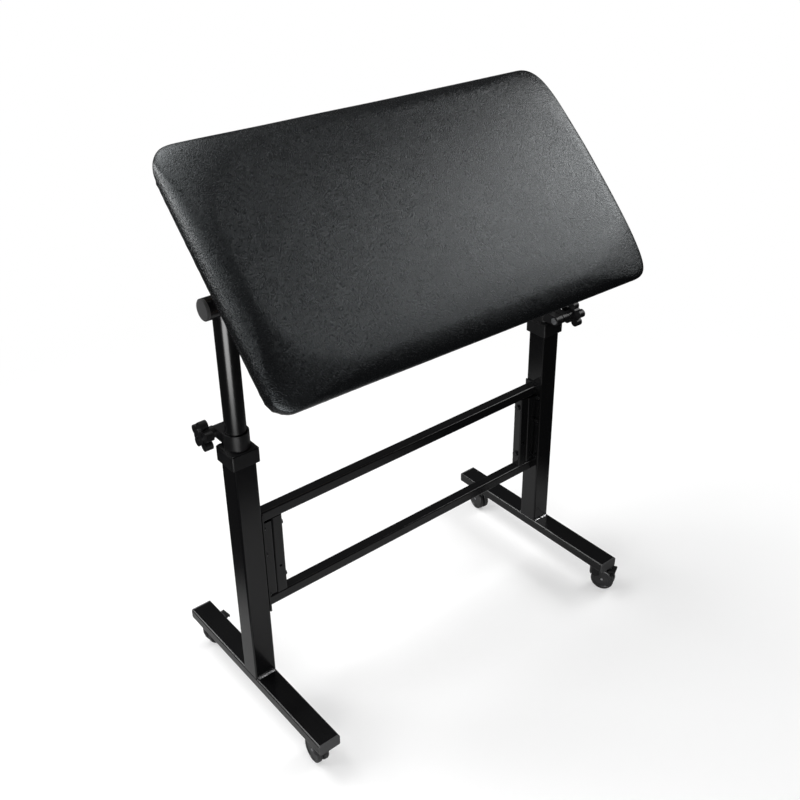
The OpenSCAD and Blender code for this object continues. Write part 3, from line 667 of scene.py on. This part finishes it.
# the recipe bends the ends down, so a mirror turns them up into the cover's underside
staples.data.transform(Matrix.Translation((0, 0, -STAPLE_DROP)) @ Matrix.Scale(-1, 4, (0, 0, 1)))
staples.data.flip_normals()
on_pad(staples)


# %% Weld ripples
def ripple_recipe():
    """Overlapping flat drops of weld metal in a row along each bead."""
    g = Recipe("weld_ripples", Spacing=0.0023, Radius=0.0024, Jitter=0.22, Seed=11)
    drop = g.node("GeometryNodeMeshIcoSphere", {"Radius": 1.0, "Subdivisions": 2})
    points = g.spots()
    grow = g.node("FunctionNodeRandomValue",
                  {2: 1.0, 3: g.size("Jitter") + 1.0, "Seed": g.size("Seed")},
                  output=1, data_type="FLOAT")
    across = g.size("Radius") * grow
    size = g.node("ShaderNodeCombineXYZ", {0: across * 0.62, 1: across, 2: across * 0.80})
    placed = g.node("GeometryNodeInstanceOnPoints",
                    {"Points": points, "Instance": drop, "Scale": size})
    g.give(placed, FINISH["weld_metal"])
    return g


POST_X, SEAM_Y, SEAM_Z, SEAM_HALF = 0.341, 0.0208, 0.0746, 0.0155


def weld_line(x, y):
    """Points along one bead, where a post stands on its foot."""
    return [(x + t * SEAM_HALF, y, SEAM_Z) for t in np.linspace(-1, 1, 9)]


seams = [weld_line(sx * POST_X, sy * SEAM_Y) for sx in (-1, 1) for sy in (-1, 1)]
ripple_recipe().run("weld_ripples", path_mesh("weld_path", seams, False), "stand", "satin_black",
                    Spacing=0.0023, Radius=0.0024, Seed=11)

# %% [markdown]
# ## 5. Camera, floor and light
#
# The camera was solved from the straight edges of the frame. To the camera the floor is pale and
# turns white towards the background, glowing partly white, more so further out: painted light that
# also lightens the shadows near the stand. All other rays see a painted pool of light, a grey disc
# about the stand, with painted dark floor beyond it, and a nearly dark background, because the
# reflections in the photographed posts look so.

# %% Camera
SENSOR, PICTURE_PX = 36.0, 800.0
FOCAL_PX, CENTRE_X, CENTRE_Y = 1014.71, 413.755, 338.033
cam = bpy.data.cameras.new("camera")
cam.sensor_width = SENSOR
cam.lens = FOCAL_PX * SENSOR / PICTURE_PX
cam.shift_x = (PICTURE_PX / 2 - CENTRE_X) / PICTURE_PX
cam.shift_y = (CENTRE_Y - PICTURE_PX / 2) / PICTURE_PX
yaw, pitch, roll = 0.692, -0.477, -0.008
forward = Vector((math.sin(yaw) * math.cos(pitch), math.cos(yaw) * math.cos(pitch),
                  math.sin(pitch)))
right = Vector((math.cos(yaw), -math.sin(yaw), 0))
up = right.cross(forward)
right_r = right * math.cos(roll) + up * math.sin(roll)
up_r = -right * math.sin(roll) + up * math.cos(roll)
eye = Vector((-0.968640, -1.185380, 1.399131))
camera = bpy.data.objects.new("camera", cam)
camera.matrix_world = Matrix((
    (right_r.x, up_r.x, -forward.x, eye.x),
    (right_r.y, up_r.y, -forward.y, eye.y),
    (right_r.z, up_r.z, -forward.z, eye.z),
    (0, 0, 0, 1)))
bpy.context.collection.objects.link(camera)
bpy.context.scene.camera = camera
print("camera at", tuple(round(v, 3) for v in eye))


# %% Floor
PALE, PALER = (0.93, 0.93, 0.93), (0.955, 0.955, 0.955)
# painted light for rays other than the camera's: a grey pool of light about the stand, painted dark
# beyond its edge
PAINTED_POOL, PAINTED_DARK, PAINTED_POOL_EDGE = (0.38, 0.38, 0.38), (0.015, 0.015, 0.015), (0.47, 0.64)


def floor_material():
    """To the camera, pale specks under a painted white glow that grows outwards; to other rays, a
    painted lit disc and painted dark beyond.
    """
    look = Look("floor", Roughness=0.8, Specular_IOR_Level=0.0)
    seen = look.node("ShaderNodeLightPath", output="Is Camera Ray")
    speck = look.ramp(look.noise(3.0, 2.0), PALE, PALER)
    far = look.node("ShaderNodeVectorMath", {0: look.at}, output="Value", operation="LENGTH")
    # painted light for other rays: the grey disc about the stand and dark floor beyond it
    painted_pool_and_dark = look.ramp(far.smooth(*PAINTED_POOL_EDGE), PAINTED_POOL, PAINTED_DARK)
    look.colour(look.node("ShaderNodeMix", {0: seen, 6: painted_pool_and_dark, 7: speck}, output=2,
                          data_type="RGBA"))
    # to the camera the floor glows partly white, from 0.35 near the stand to all white far out:
    # painted light that lightens the shadows and blends into the white background
    white = look.node("ShaderNodeEmission", {"Strength": 1.0})
    painted_glow = far.smooth(0.6, 1.7).between(0.35, 1.0) * seen
    shaded = Sock(look, look.shader.outputs[0])
    mix = look.node("ShaderNodeMixShader", {0: painted_glow, 1: shaded, 2: white})
    look.feed(look.tree.nodes["Material Output"].inputs["Surface"], mix)
    return look.material


bpy.ops.mesh.primitive_circle_add(vertices=96, radius=9.0, fill_type="NGON", location=(0, 0, 0))
floor = bpy.context.object
floor.name = "floor"
floor.data.materials.append(floor_material())
print("floor laid")


# %% Background
WHITE, SKY_LIGHT = (1, 1, 1, 1), 0.06


def background():
    """White to the camera, nearly dark to all other rays."""
    world = bpy.data.worlds.new("world")
    bpy.context.scene.world = world
    world.use_nodes = True
    world.node_tree.nodes.clear()
    sky = Graph(world.node_tree)
    out = sky.tree.nodes.new("ShaderNodeOutputWorld")
    is_seen = sky.node("ShaderNodeLightPath", output="Is Camera Ray")
    seen = sky.node("ShaderNodeBackground", {"Color": WHITE, "Strength": 1.0})
    lit = sky.node("ShaderNodeBackground", {"Color": WHITE, "Strength": SKY_LIGHT})
    sky.feed(out.inputs["Surface"], sky.node("ShaderNodeMixShader", {0: is_seen, 1: lit, 2: seen}))


background()
print("background set")


# %% Lamps
def lamp(name, at, aim, size, power, size_y=None):
    """An area lamp at one point, aimed at another; square unless size_y is given."""
    data = bpy.data.lights.new(name, "AREA")
    data.shape = "RECTANGLE" if size_y else "SQUARE"
    data.size = size
    if size_y:
        data.size_y = size_y
    data.energy = power
    obj = bpy.data.objects.new(name, data)
    obj.visible_camera = False
    obj.location = at
    obj.rotation_mode = "QUATERNION"
    obj.rotation_quaternion = (Vector(aim) - Vector(at)).to_track_quat("-Z", "Y")
    bpy.context.collection.objects.link(obj)


# name, place, aim, size in metres, power in watts, and the other side where it isn't square
LAMPS = (
    ("back_box", (-0.8, 1.6, 3.6), (-0.1, 0, 0.2), 2.2, 97.0),
    ("top_box", (0.0, 0.4, 3.8), (0, 0, 0.2), 3.2, 11.0),
    ("key_box", (2.80, -0.30, 2.11), (0.1, 0, 0.85), 1.2, 38.0),
    ("side_box", (2.33, -1.49, 2.19), (0.1, 0, 0.85), 1.2, 20.0),
    ("left_box", (-2.6, 0.8, 2.4), (-0.3, 0, 0.8), 1.0, 14.0),
    ("end_box", (-2.8, 1.4, 1.6), (-0.3, 0, 0.8), 1.0, 20.0),
    ("corner_box", (-0.98, 1.00, 0.84), (-0.38, 0.14, 0.92), 0.45, 6.0),
    ("low_strip", (-0.95, -0.95, 0.27), (-0.341, 0, 0.45), 0.85, 13.0, 0.5),
)
for row in LAMPS:
    lamp(*row)
bpy.context.scene.view_settings.view_transform = "Standard"
